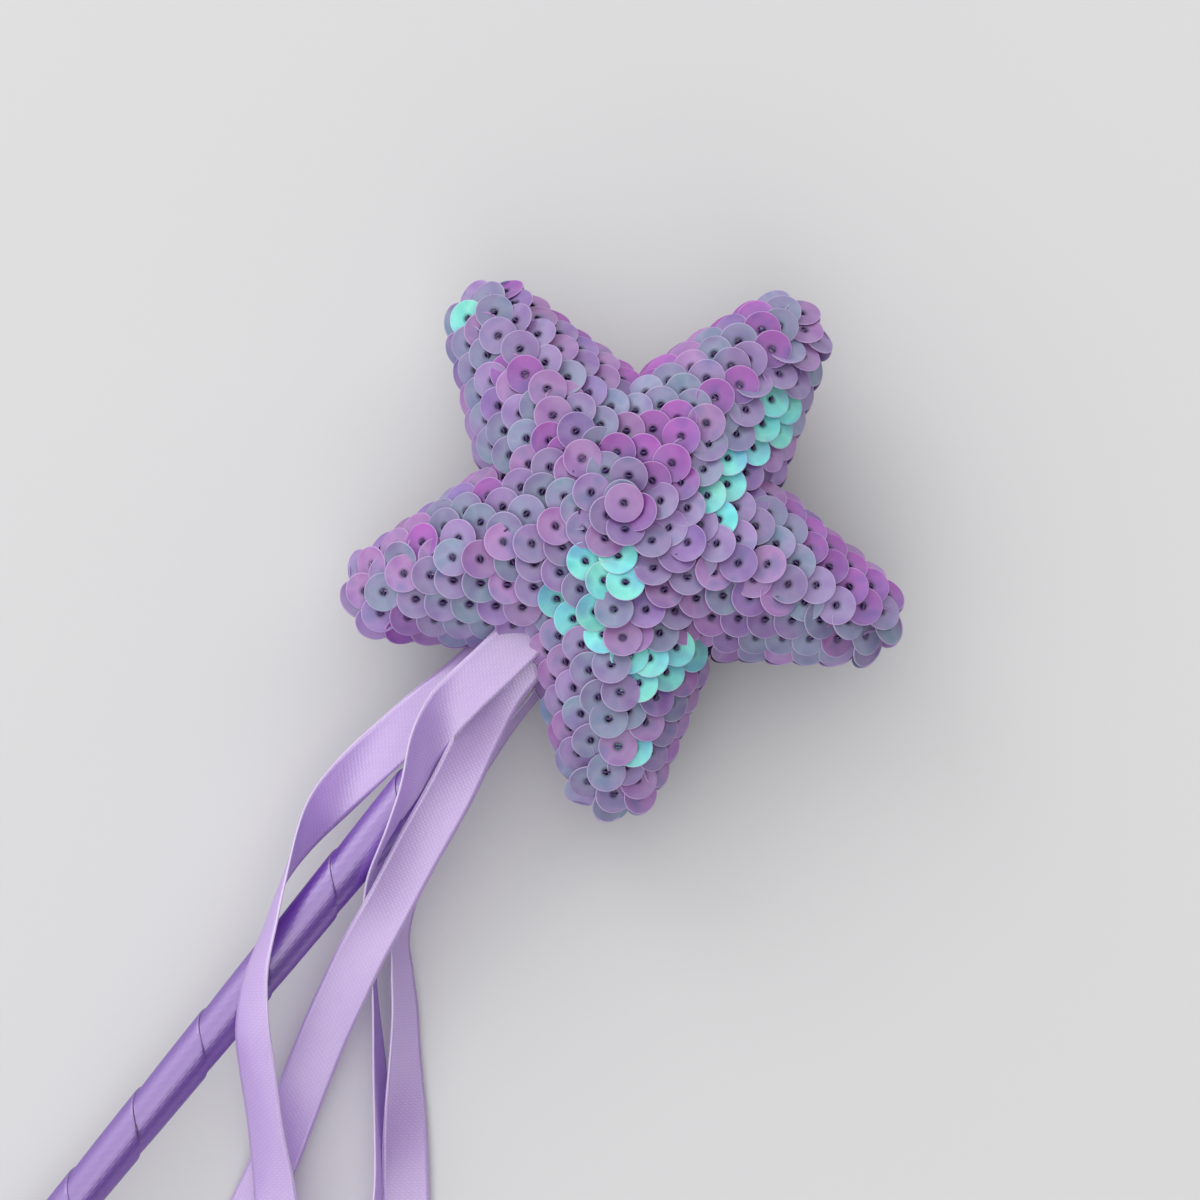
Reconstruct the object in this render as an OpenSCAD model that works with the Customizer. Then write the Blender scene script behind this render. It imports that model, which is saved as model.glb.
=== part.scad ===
// Toy magic wand: a stuffed star covered in sequins, on a stick wound with ribbon, with loose streamers.
// It lies on a surface at Z = 0, with the stick along Y and the star at the +Y end. Sizes are in mm.

/* [Star] */
// Distance from the star's centre to each tip of the cloth
star_tip_r = 42.3; // [38:0.1:50]
// Radius of the rounded tips
tip_round = 5.5; // [4:0.5:9]
// Distance from the star's centre to the bottom of each notch in the cloth
star_notch_r = 22.2; // [20:0.2:27]
// Radius of the rounded notches
notch_round = 3; // [1:0.5:6]
// Thickness of the stuffed star at its centre, without sequins
star_thick = 28; // [22:1:36]
// Thickness of each cover's cloth
cover_t = 0.8; // [0.5:0.1:1.5]
// Gap between the covers and the stuffing
stuffing_gap = 0.3; // [0.2:0.1:1]

/* [Sequins] */
// Diameter of a sequin
sequin_d = 6; // [5:0.25:7]
// Diameter of a sequin's thread hole
sequin_hole_d = 0.9; // [0.6:0.1:1.5]
// Thickness of a sequin
sequin_t = 0.12; // [0.1:0.01:0.2]
// Distance from one sequin to the next along a row
sequin_pitch = 4.5; // [4:0.1:5.5]
// Gap between the cloth and the low edge of a leaning sequin
sequin_gap = 0.05; // [0:0.05:0.5]
// Distance over the cloth from the seam to the first row
row_start = 2.9; // [2.5:0.1:4]

/* [Stitches] */
// Diameter of the seam thread
stitch_d = 0.4; // [0.3:0.05:0.6]
// Length of one stitch across the seam
stitch_l = 1.6; // [1:0.1:2.5]
// Number of stitches round the seam
stitch_count = 60; // [40:1:90]

/* [Stick] */
// Diameter of the bare dowel
stick_d = 6; // [5:0.25:8]
// Distance from the star's centre to the stick's free end
stick_reach = 286; // [220:1:340]
// Distance that the stick runs past the star's centre
stick_inside = 8; // [0:1:16]
// Chamfer on the dowel's ends
stick_chamfer = 0.5; // [0.2:0.1:1]

/* [Wrap] */
// Thickness of the wound ribbon
wrap_t = 0.4; // [0.3:0.05:0.6]
// Gap between the dowel and the wound ribbon
wrap_fit = 0.05; // [0.02:0.01:0.1]
// Distance along the stick from one turn to the next
wrap_pitch = 15.6; // [13:0.2:20]
// Gap along the stick between one turn and the next
wrap_gap = 0.7; // [0.6:0.05:1.2]
// Length of the square turn round the free end
end_turn_l = 12; // [8:1:16]
// Length of the wrap that runs into the star's mouth
wrap_inside = 3; // [1:0.5:5]

/* [Mouth] */
// Room round the wrap in the star's mouth
mouth_room = 1.2; // [0.6:0.1:2]
// Length of the glue round the dowel inside the star
glue_l = 10; // [6:1:14]
// Gap between the glue and what it holds
glue_fit = 0.05; // [0.02:0.01:0.2]

/* [Streamers] */
// Width of a streamer
streamer_w = 7.4; // [5:0.2:9]
// Thickness of a streamer
streamer_t = 0.4; // [0.3:0.05:0.6]

/* [Hidden] */
$fn = 48;

// Colours
wood_tone = "#d9b98c";
wrap_tone = "#a573cd";
ribbon_tone = "#c3a5e0";
cloth_tone = "#5b2f86";
fill_tone = "#f2eef5";
glue_tone = "#efe6c8";
thread_tone = "#4a2a70";
sequin_tones = ["#a184b8", "#9a8fb8"];

// Outline of the star: round tips and notches joined by straight edges
star_points = 5;
point_half = 180 / star_points;
star_half = star_thick / 2;
tip_c = star_tip_r - tip_round;
notch_c = star_notch_r + notch_round;
notch_way = [notch_c * cos(point_half) - tip_c, notch_c * sin(point_half)];
edge_ang = atan2(notch_way[1], notch_way[0]) - acos((tip_round + notch_round) / norm(notch_way));
edge_d = tip_c * cos(edge_ang) + tip_round;

// Crown of the stuffed star, and the radius of the round contour that its outline fades to at the centre
crown = 0.6;
core_r = (star_tip_r + star_notch_r) / 2;

// Mesh of the star's shells
shell_spokes = 60;
shell_rings = 7;

// Sequin rows and the lean of each disc over its neighbours
sequin_rows = 7;
row_end = 0.75;
row_steps = 180;
seam_steps = 60;
lean_along = 0.2;
lean_in = 0.36;
lean_bend = 0.2;
sequin_drop = sequin_d / 2 * sin(atan(norm([lean_along, lean_in])));
sequin_lift = sequin_gap + sequin_drop;
sequin_rise = sequin_lift + sequin_drop;
probe = 0.05;
crown_lift = 0.6;

// Chain of discs along the ridge of each arm
ridge_start = 7.5;
ridge_end_r = 8;
ridge_lift = 0.7;

// Left out of the rows: discs in the notches and near the ridges, where the two sides of a row run together
notch_rows = 3;
ridge_rows = [3, 6];
skip_share = 0.37;
skip_room = skip_share * sequin_d;

// Stick, wrap and mouth
stick_r = stick_d / 2;
wrap_in_r = stick_r + wrap_fit;
wrap_r = wrap_in_r + wrap_t;
mouth_r = wrap_r + mouth_room;
wrap_y0 = -stick_reach + end_turn_l + wrap_gap;
wrap_y1 = -star_notch_r + wrap_inside;
wrap_tongue = 1;
wrap_rings = 24;
glue_y0 = wrap_y1 + wrap_gap;
cut_past = 4;

// The wand leans on the star's back and on the stick's free end
star_rest = star_half + sequin_rise;
wand_tilt = asin((star_rest - wrap_r) / stick_reach);
star_y = (stick_reach - star_tip_r - sequin_rise) / 2 * cos(wand_tilt);

// Streamer routes from the mouth: X, Y from the star's centre, Z above the surface, roll of the ribbon
route_a = [
    [-4.2, -22.4, 16.8, -45], [-5, -34, 16.2, -32], [-6.6, -45, 15, -6], [-8.1, -54, 14, 18],
    [-8.7, -61.5, 13.4, 40], [-8.2, -68, 13.4, 66], [-6.4, -75, 14.4, 92], [-3.4, -82, 16.6, 112],
    [0, -89, 19, 124], [4.4, -95, 18.6, 132], [8.8, -99.5, 16, 137], [15.6, -106, 11, 142],
    [22, -112, 7, 150], [28.6, -119.4, 4, 160], [34.4, -130, 1.6, 174], [38, -144, 0.8, 180],
    [40, -160, 0.8, 180], [40, -175, 0.8, 180], [38, -190, 0.8, 180]
];
route_b = [
    [1.2, -22.4, 18.9, 18], [1.2, -31, 18.7, 20], [2.8, -39, 18, 20], [4.9, -48, 17, 18],
    [6.7, -58.5, 15.4, 16], [8.5, -68, 13.4, 14], [9.8, -76.4, 11, 12], [12.1, -86.7, 7.2, 10],
    [14, -93.5, 4.8, 6], [16.2, -100.6, 2.8, 2], [19.2, -110, 1.2, 0], [22, -122, 0.8, 0],
    [23.6, -136, 0.8, 0], [23.6, -150, 0.8, 0], [22.4, -164, 0.8, 0], [20, -178, 0.8, 0],
    [16.6, -190, 0.8, 0]
];
route_c = [
    [4.8, -22.4, 11.6, 85], [5, -36, 10.6, 82], [5.8, -48, 9.4, 78], [7.8, -59, 8, 75],
    [11.4, -69, 6.4, 74], [15.6, -74, 5.4, 70], [19.8, -78.4, 4.6, 62], [24.8, -84.4, 3.6, 48],
    [29.8, -90.4, 2.6, 32], [34.8, -96.4, 1.6, 15], [39.8, -102.4, 1, 5], [45.6, -110.6, 0.8, 0],
    [51.4, -122, 0.8, 0], [55, -135, 0.8, 0], [57, -150, 0.8, 0], [57, -165, 0.8, 0],
    [55, -180, 0.8, 0]
];
route_d = [
    [-1, -22.4, 20.9, 0], [-1.8, -30, 20.8, 0], [-2.6, -36, 20.6, 4], [-2.8, -40, 20.6, 20],
    [-2, -46, 20.6, 50], [0.2, -52, 19.8, 64], [1.8, -58, 18, 74], [4, -66, 12.6, 80],
    [7.2, -71.6, 8.6, 84], [10.9, -75.4, 6.2, 85], [13.9, -78.8, 5, 84], [22.4, -87.8, 3.9, 80],
    [28.9, -95.3, 3.8, 78], [35.9, -104.3, 3.8, 76], [41.8, -113.4, 3, 58], [45.6, -123.6, 1.8, 28],
    [47.4, -136, 0.9, 5], [48, -150, 0.8, 0], [47, -165, 0.8, 0], [45, -180, 0.8, 0]
];

function unit(v) = v / norm(v);
function clamp(x, low, high) = min(max(x, low), high);

// The star's outline moved in by an inset, by the angle a from the top tip
function from_tip(a) = abs((a % 360 + 360 + point_half) % (2 * point_half) - point_half);
function edge_foot(inset) = [tip_c, 0] + (tip_round - inset) * [cos(edge_ang), sin(edge_ang)];
function edge_top(inset) =
    notch_c * [cos(point_half), sin(point_half)] - (notch_round + inset) * [cos(edge_ang), sin(edge_ang)];
function angle_of(p) = atan2(p[1], p[0]);
function arc_root(r, reach) = sqrt(max(r * r - reach * reach, 0));
function fold_r(b, inset) =
    b < angle_of(edge_foot(inset)) && inset < tip_round
        ? tip_c * cos(b) + arc_root(tip_round - inset, tip_c * sin(b))
        : b > angle_of(edge_top(inset))
            ? notch_c * cos(point_half - b) - arc_root(notch_round + inset, notch_c * sin(point_half - b))
            : (edge_d - inset) / cos(b - edge_ang);
function outline(a, inset) = fold_r(from_tip(a), inset);

// The crowned cloth over a point at radius r, or at share t of the way from the centre to the rim
function share(r, rim_r, mid_r) = 2 * r / (mid_r + sqrt(max(mid_r * mid_r + 4 * r * (rim_r - mid_r), 0)));
function height(t, inset, rim_z) = rim_z + (star_half - inset - rim_z) * pow(max(1 - t * t, 0), crown);
function polar(a, r) = [-r * sin(a), r * cos(a)];
function puffed(a, t, inset, side, rim_z) =
    let (mid_r = core_r - inset, r = t * (mid_r + (outline(a, inset) - mid_r) * t))
    [each polar(a, r), side * height(t, inset, rim_z)];
function cloth(q) =
    let (r = norm(q), a = atan2(-q[0], q[1]))
    [q[0], q[1], height(share(r, outline(a, 0), core_r), 0, 0)];
function cloth_normal(q) = unit(cross(
    cloth(q + [probe, 0]) - cloth(q - [probe, 0]),
    cloth(q + [0, probe]) - cloth(q - [0, probe])
));

// Distance over the cloth from the seam in a notch towards the centre, against the inset of the outline
function seam_inset(i) = star_notch_r * i / seam_steps;
function seam_point(i) = cloth(polar(point_half, star_notch_r - seam_inset(i)));
seam_table = [
    for (i = 0, s = 0; i <= seam_steps; i = i + 1, s = s + norm(seam_point(i) - seam_point(i - 1)))
        [s, seam_inset(i)]
];
row_pitch = (seam_table[seam_steps][0] - row_start) / (sequin_rows - 1 + row_end);
function row_inset(row) = lookup(row_start + (row - 1) * row_pitch, seam_table);

// Distance along a row, against the angle, and the angles of its sequins
function row_ang(k) = 360 * k / row_steps;
function row_point(a, inset) = polar(a, outline(a, inset));
function row_step(k, inset) =
    norm(cloth(row_point(row_ang(k), inset)) - cloth(row_point(row_ang(k - 1), inset)));
function row_table(inset) = [
    for (k = 0, s = 0; k <= row_steps; k = k + 1, s = s + row_step(k, inset)) [s, row_ang(k)]
];
function row_angles(row) =
    let (
        table = row_table(row_inset(row)),
        length = table[row_steps][0],
        count = max(3, round(length / sequin_pitch)),
        phase = row % 2 == 0 ? 0.5 : 0
    )
    [for (j = [0 : count - 1]) lookup((j + phase) * length / count, table)];

// Each disc leans on the one before it in its row and on the row outside it
function sequin_normal(a, inset) =
    let (
        reach = sequin_pitch / 2 / max(outline(a, inset), sequin_d) * 180 / PI,
        q = row_point(a, inset),
        n = cloth_normal(q),
        ahead = cloth(row_point(a + reach, inset)) - cloth(row_point(a - reach, inset)),
        v = unit(cross(n, ahead)),
        u = cross(v, n),
        turn = cloth_normal(row_point(a - reach, inset)) * cloth_normal(row_point(a + reach, inset)),
        bend = acos(clamp(turn, -1, 1)) * PI / 180
    )
    unit(n + (lean_along + lean_bend * bend) * u + lean_in * v);
function over_stick(p) = p[1] < 0 && norm([p[0], p[2]]) < mouth_r + sequin_d / 4;
function in_notch(row, a) =
    row <= notch_rows && outline(a, row_inset(row)) * sin(point_half - from_tip(a)) < skip_room;
function on_ridge(row, a) =
    row >= ridge_rows[0] && row <= ridge_rows[1]
    && outline(a, row_inset(row)) * sin(from_tip(a)) < skip_room;
// Distance over the cloth from an arm's tip along its ridge, against the radius, and the radii of its discs
function ridge_r(i) = star_tip_r * (1 - i / seam_steps);
function ridge_point(i) = cloth([0, ridge_r(i)]);
ridge_table = [
    for (i = 0, s = 0; i <= seam_steps; i = i + 1, s = s + norm(ridge_point(i) - ridge_point(i - 1)))
        [s, ridge_r(i)]
];
ridge_radii = [
    for (s = [ridge_start : sequin_pitch : ridge_table[seam_steps][0]])
        let (r = lookup(s, ridge_table)) if (r > ridge_end_r) r
];
function sewn(row, a, p) = !over_stick(p) && !in_notch(row, a) && !on_ridge(row, a);

// A closed shell between an upper and a lower crowned surface, each [inset, side, rim height]
function ring_t(i) = sin(90 * i / shell_rings);
function spoke_ang(j) = 360 * j / shell_spokes;
function sheet_points(s) = concat(
    [puffed(0, 0, s[0], s[1], s[2])],
    [for (i = [1 : shell_rings], j = [0 : shell_spokes - 1]) puffed(spoke_ang(j), ring_t(i), s[0], s[1], s[2])]
);
sheet_size = 1 + shell_rings * shell_spokes;
function at(base, i, j) = base + 1 + (i - 1) * shell_spokes + j % shell_spokes;
function sheet_faces(base) = concat(
    [for (j = [0 : shell_spokes - 1]) [base, at(base, 1, j + 1), at(base, 1, j)]],
    [for (i = [1 : shell_rings - 1], j = [0 : shell_spokes - 1])
        each strip(at(base, i, j), at(base, i, j + 1), at(base, i + 1, j), at(base, i + 1, j + 1))]
);
function strip(p, q, r, s) = [[p, q, s], [p, s, r]];
function turned(faces) = [for (f = faces) [f[2], f[1], f[0]]];

module crowned_shell(upper, lower) {
    rim = [for (j = [0 : shell_spokes - 1])
        each strip(
            at(0, shell_rings, j), at(0, shell_rings, j + 1),
            at(sheet_size, shell_rings, j), at(sheet_size, shell_rings, j + 1)
        )];
    polyhedron(
        points = concat(sheet_points(upper), sheet_points(lower)),
        faces = concat(sheet_faces(0), turned(sheet_faces(sheet_size)), rim)
    );
}

// The wand's own frame has the star's centre at its origin and the stick along -Y
module lay() translate([0, star_y, star_rest]) rotate([wand_tilt, 0, 0]) children();
module along_stick(y0) translate([0, y0, 0]) rotate([-90, 0, 0]) children();
module other_side(back) mirror([0, 0, back ? 1 : 0]) children();

module tube(r_out, r_in, length) {
    rotate_extrude() translate([r_in, 0]) square([r_out - r_in, length]);
}

module mouth_cut(y1) {
    y0 = -star_notch_r - cut_past;
    along_stick(y0) cylinder(r = mouth_r, h = y1 - y0);
}

module stick() color(wood_tone) lay() {
    length = stick_reach + stick_inside;
    face_r = stick_r - stick_chamfer;
    along_stick(-stick_reach) rotate_extrude() polygon([
        [0, 0], [face_r, 0], [stick_r, stick_chamfer],
        [stick_r, length - stick_chamfer], [face_r, length], [0, length]
    ]);
}

module wrap_end_turn() color(wrap_tone) lay() along_stick(-stick_reach) tube(wrap_r, wrap_in_r, end_turn_l);

module glue_plug() color(glue_tone) lay()
    along_stick(glue_y0) tube(mouth_r - glue_fit, stick_r + glue_fit, glue_l);

// The wound ribbon is one band whose two edges climb the stick, cut square at both ends
wrap_a0 = 360 * (wrap_tongue + wrap_gap) / wrap_pitch;
wrap_a1 = 360 * ((wrap_y1 - wrap_tongue - wrap_y0) / wrap_pitch + 1);
wrap_count = ceil((wrap_a1 - wrap_a0) * wrap_rings / 360);
function wrap_ang(i) = wrap_a0 + (wrap_a1 - wrap_a0) * i / wrap_count;
function wrap_low(a) = clamp(wrap_y0 + wrap_pitch * (a / 360 - 1), wrap_y0, wrap_y1);
function wrap_high(a) = clamp(wrap_y0 + wrap_pitch * a / 360 - wrap_gap, wrap_y0, wrap_y1);
function wrap_point(a, r, y) = [-r * sin(a), y, r * cos(a)];
function wrap_ring(a) = [
    wrap_point(a, wrap_in_r, wrap_low(a)), wrap_point(a, wrap_r, wrap_low(a)),
    wrap_point(a, wrap_r, wrap_high(a)), wrap_point(a, wrap_in_r, wrap_high(a))
];
wrap_points = [for (i = [0 : wrap_count]) wrap_ring(wrap_ang(i))];
wrap_least_gap = min([
    for (i = [0 : wrap_count], j = [i + wrap_rings / 2 : 1 : min(i + 2 * wrap_rings, wrap_count)])
        norm(wrap_points[i][2] - wrap_points[j][1])
]);
echo(wrap_turns = (wrap_a1 - wrap_a0) / 360, wrap_least_gap = wrap_least_gap);

// A closed band swept through rings of points
function band_faces(rings, sides) = concat(
    [for (k = [1 : sides - 2]) [0, k, k + 1]],
    [for (i = [0 : rings - 2], k = [0 : sides - 1])
        let (p = i * sides + k, q = i * sides + (k + 1) % sides)
        each k < sides / 2
            ? [[p, p + sides, q + sides], [p, q + sides, q]]
            : [[p, p + sides, q], [q, p + sides, q + sides]]],
    [for (k = [1 : sides - 2]) let (e = (rings - 1) * sides) [e, e + k + 1, e + k]]
);

module swept(rings) {
    polyhedron(
        points = [for (ring = rings) each ring],
        faces = band_faces(len(rings), len(rings[0]))
    );
}

module stick_wrap() color(wrap_tone) lay() swept(wrap_points);

module star_cover(back) color(cloth_tone) lay() other_side(back) difference() {
    crowned_shell([0, 1, 0], [cover_t, 1, 0]);
    mouth_cut(-star_notch_r / 2);
}

module star_stuffing() color(fill_tone) lay() difference() {
    inset = cover_t + stuffing_gap;
    crowned_shell([inset, 1, stuffing_gap], [inset, -1, stuffing_gap]);
    mouth_cut(stick_inside + stuffing_gap);
}

module seam_stitches() color(thread_tone) lay() {
    for (j = [0 : stitch_count - 1]) {
        a = 360 * (j + 0.5) / stitch_count;
        p = polar(a, outline(a, 0) + stitch_d);
        if (p[1] > 0 || abs(p[0]) > mouth_r + stitch_d)
            translate(p) cylinder(d = stitch_d, h = stitch_l, center = true, $fn = 24);
    }
}

module sequin() tube_disc(sequin_d / 2, sequin_hole_d / 2, sequin_t);
module tube_disc(r_out, r_in, t) translate([0, 0, -t / 2]) tube(r_out, r_in, t);

module facing(p, n) translate(p) rotate([0, acos(n[2]), atan2(n[1], n[0])]) children();

module sequin_row(row, back) color(sequin_tones[row % 2]) lay() other_side(back) {
    inset = row_inset(row);
    for (a = row_angles(row)) {
        q = row_point(a, inset);
        p = cloth(q) + sequin_lift * cloth_normal(q);
        if (sewn(row, a, p)) facing(p, sequin_normal(a, inset)) sequin();
    }
}

module sequin_ridges(back) color(sequin_tones[1]) lay() other_side(back) {
    for (k = [0 : star_points - 1], r = ridge_radii) {
        a = 2 * point_half * k;
        q = polar(a, r);
        n = cloth_normal(q);
        v = unit(cross(n, cross([each polar(a, -1), 0], n)));
        facing(cloth(q) + (sequin_lift + ridge_lift) * n, unit(n + lean_in * v)) sequin();
    }
}

module sequin_crown(back) color(sequin_tones[1]) lay() other_side(back)
    translate([0, 0, star_half + sequin_lift + crown_lift]) sequin();

// A streamer is a flat ribbon that turns with the roll of its route
streamer_ring = [
    [1, 0], [0.94, 1], [0, 1], [-0.94, 1], [-1, 0], [-0.94, -1], [0, -1], [0.94, -1]
];
function xyz(q) = [q[0], q[1] + star_y, q[2]];
function route_way(route, i) =
    unit(xyz(route[min(i + 1, len(route) - 1)]) - xyz(route[max(i - 1, 0)]));
function ribbon_ring(route, i) =
    let (
        way = route_way(route, i),
        flat = unit(cross(way, [0, 0, 1])),
        up = cross(flat, way),
        roll = route[i][3],
        wide = flat * cos(roll) + up * sin(roll),
        thick = cross(wide, way)
    )
    [for (c = streamer_ring)
        xyz(route[i]) + wide * c[0] * streamer_w / 2 + thick * c[1] * streamer_t / 2];

module streamer(route) color(ribbon_tone)
    swept([for (i = [0 : len(route) - 1]) ribbon_ring(route, i)]);

stick();
stick_wrap();
wrap_end_turn();
glue_plug();
star_cover(false);  // star_front_cover
star_cover(true);  // star_back_cover
star_stuffing();
seam_stitches();
for (row = [1 : sequin_rows]) {
    sequin_row(row, false);
    sequin_row(row, true);
}
sequin_ridges(false);  // front_sequin_ridges
sequin_ridges(true);  // back_sequin_ridges
sequin_crown(false);  // front_sequin_crown
sequin_crown(true);  // back_sequin_crown
streamer(route_a);  // streamer_a
streamer(route_b);  // streamer_b
streamer(route_c);  // streamer_c
streamer(route_d);  // streamer_d
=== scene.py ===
"""Looks of the toy magic wand: sequins, stuffed cloth star, wound stick and satin streamers."""
import math
import random

import bpy
import numpy as np
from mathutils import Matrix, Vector, noise


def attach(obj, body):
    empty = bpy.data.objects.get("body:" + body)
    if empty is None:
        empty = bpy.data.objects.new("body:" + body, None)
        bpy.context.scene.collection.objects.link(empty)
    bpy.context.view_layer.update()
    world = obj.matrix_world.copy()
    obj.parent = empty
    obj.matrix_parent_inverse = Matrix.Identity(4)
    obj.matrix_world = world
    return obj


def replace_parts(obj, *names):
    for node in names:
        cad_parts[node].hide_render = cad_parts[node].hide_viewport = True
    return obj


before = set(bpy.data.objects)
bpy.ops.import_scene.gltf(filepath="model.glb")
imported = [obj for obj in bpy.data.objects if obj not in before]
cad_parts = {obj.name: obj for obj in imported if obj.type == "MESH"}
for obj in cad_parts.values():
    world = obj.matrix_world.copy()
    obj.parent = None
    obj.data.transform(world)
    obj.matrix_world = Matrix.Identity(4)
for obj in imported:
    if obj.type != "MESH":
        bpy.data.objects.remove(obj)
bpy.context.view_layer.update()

# Sizes of the part in millimetres, as in its source
MM = 0.001
STAR_POINTS = 5
POINT_HALF = 180 / STAR_POINTS
TIP_R, TIP_ROUND, NOTCH_R, NOTCH_ROUND = 42.3, 5.5, 22.2, 3.0
STAR_HALF, COVER_T, CROWN = 14.0, 0.8, 0.6
SEQUIN_R, SEQUIN_HOLE_R = 3.0, 0.45
SEQUIN_GAP, SEQUIN_LEAN, CAD_ROWS = 0.05, (0.2, 0.36), 7
STICK_REACH, END_TURN_L = 286.0, 12.0
WRAP_IN_R, WRAP_R, WRAP_PITCH, WRAP_GAP, WRAP_INSIDE = 3.05, 3.45, 15.6, 0.7, 3.0
MOUTH_R = 4.65
STREAMER_W, STREAMER_T = 7.4, 0.4

SEQUIN_DROP = SEQUIN_R * math.sin(math.atan(math.hypot(*SEQUIN_LEAN)))
SEQUIN_LIFT = SEQUIN_GAP + SEQUIN_DROP
STAR_REST = STAR_HALF + SEQUIN_LIFT + SEQUIN_DROP
WAND_TILT = math.asin((STAR_REST - WRAP_R) / STICK_REACH)
STAR_Y = (STICK_REACH - TIP_R - SEQUIN_LIFT - SEQUIN_DROP) / 2 * math.cos(WAND_TILT)

# Streamer routes: X, Y from the star's centre, Z above the surface, roll of the ribbon
ROUTES = {
    "a": [
        (-4.2, -22.4, 16.8, -45), (-5, -34, 16.2, -32), (-6.6, -45, 15, -6), (-8.1, -54, 14, 18),
        (-8.7, -61.5, 13.4, 40), (-8.2, -68, 13.4, 66), (-6.4, -75, 14.4, 92), (-3.4, -82, 16.6, 112),
        (0, -89, 19, 124), (4.4, -95, 18.6, 132), (8.8, -99.5, 16, 137), (15.6, -106, 11, 142),
        (22, -112, 7, 150), (28.6, -119.4, 4, 160), (34.4, -130, 1.6, 174), (38, -144, 0.8, 180),
        (40, -160, 0.8, 180), (40, -175, 0.8, 180), (38, -190, 0.8, 180),
    ],
    "b": [
        (1.2, -22.4, 18.9, 18), (1.2, -31, 18.7, 20), (2.8, -39, 18, 20), (4.9, -48, 17, 18),
        (6.7, -58.5, 15.4, 16), (8.5, -68, 13.4, 14), (9.8, -76.4, 11, 12), (12.1, -86.7, 7.2, 10),
        (14, -93.5, 4.8, 6), (16.2, -100.6, 2.8, 2), (19.2, -110, 1.2, 0), (22, -122, 0.8, 0),
        (23.6, -136, 0.8, 0), (23.6, -150, 0.8, 0), (22.4, -164, 0.8, 0), (20, -178, 0.8, 0),
        (16.6, -190, 0.8, 0),
    ],
    "c": [
        (4.8, -22.4, 11.6, 85), (5, -36, 10.6, 82), (5.8, -48, 9.4, 78), (7.8, -59, 8, 75),
        (11.4, -69, 6.4, 74), (15.6, -74, 5.4, 70), (19.8, -78.4, 4.6, 62), (24.8, -84.4, 3.6, 48),
        (29.8, -90.4, 2.6, 32), (34.8, -96.4, 1.6, 15), (39.8, -102.4, 1, 5), (45.6, -110.6, 0.8, 0),
        (51.4, -122, 0.8, 0), (55, -135, 0.8, 0), (57, -150, 0.8, 0), (57, -165, 0.8, 0),
        (55, -180, 0.8, 0),
    ],
    "d": [
        (-1, -22.4, 20.9, 0), (-1.8, -30, 20.8, 0), (-2.6, -36, 20.6, 4), (-2.8, -40, 20.6, 20),
        (-2, -46, 20.6, 50), (0.2, -52, 19.8, 64), (1.8, -58, 18, 74), (4, -66, 12.6, 80),
        (7.2, -71.6, 8.6, 84), (10.9, -75.4, 6.2, 85), (13.9, -78.8, 5, 84), (22.4, -87.8, 3.9, 80),
        (28.9, -95.3, 3.8, 78), (35.9, -104.3, 3.8, 76), (41.8, -113.4, 3, 58), (45.6, -123.6, 1.8, 28),
        (47.4, -136, 0.9, 5), (48, -150, 0.8, 0), (47, -165, 0.8, 0), (45, -180, 0.8, 0),
    ],
}


# Small helpers

def unit(v):
    v = np.asarray(v, float)
    return v / np.linalg.norm(v)


def sind(a):
    return math.sin(math.radians(a))


def cosd(a):
    return math.cos(math.radians(a))


def lay(points):
    """Points in millimetres from the star's centre, with the stick along -Y, as the wand lies, in metres."""
    p = np.asarray(points, float).reshape(-1, 3)
    c, s = math.cos(WAND_TILT), math.sin(WAND_TILT)
    return np.column_stack([
        p[:, 0],
        STAR_Y + p[:, 1] * c - p[:, 2] * s,
        STAR_REST + p[:, 1] * s + p[:, 2] * c,
    ]) * MM


def linear(hex_tone):
    """An sRGB hex tone as a linear colour with alpha."""
    out = []
    for k in (1, 3, 5):
        c = int(hex_tone[k:k + 2], 16) / 255
        out.append(c / 12.92 if c <= 0.04045 else ((c + 0.055) / 1.055) ** 2.4)
    return (*out, 1.0)


def run_lengths(points):
    """Distance of each point along a line of points, from the first one."""
    steps = [0.0] + [float(np.linalg.norm(q - p)) for p, q in zip(points, points[1:])]
    return np.cumsum(steps)


def mesh_piece(name, points, faces, material, uvs=None, tints=None, *, slot):
    """A mesh object on body root; uvs are per vertex, tints are linear colours per vertex."""
    mesh = bpy.data.meshes.new(name)
    mesh.from_pydata([tuple(p) for p in points], [], [tuple(int(i) for i in f) for f in faces])
    mesh.validate()
    mesh.polygons.foreach_set("use_smooth", [True] * len(mesh.polygons))
    if uvs is not None:
        layer = mesh.uv_layers.new(name="UVMap")
        index = np.zeros(len(mesh.loops), np.int32)
        mesh.loops.foreach_get("vertex_index", index)
        layer.data.foreach_set("uv", np.asarray(uvs, np.float32)[index].ravel())
    if tints is not None:
        attribute = mesh.color_attributes.new("tint", "FLOAT_COLOR", "POINT")
        attribute.data.foreach_set("color", np.asarray(tints, np.float32).ravel())
    mesh.materials.append(material)
    mesh.update()
    piece = bpy.data.objects.new(name, mesh)
    bpy.context.scene.collection.objects.link(piece)
    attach(piece, "root")
    return piece


def grid_faces(rows, columns, wrap=False):
    """Quads of a grid of points in rows; wrap joins the last column to the first."""
    faces = []
    for i in range(rows - 1):
        for j in range(columns if wrap else columns - 1):
            k = (j + 1) % columns
            here, ahead = i * columns, (i + 1) * columns
            faces.append((here + j, here + k, ahead + k, ahead + j))
    return faces


def tube_faces(length, sides):
    """Faces of a closed tube with length rings of points."""
    last = (length - 1) * sides
    ends = [tuple(range(sides))[::-1], tuple(range(last, last + sides))]
    return grid_faces(length, sides, wrap=True) + ends


# Materials

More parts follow.
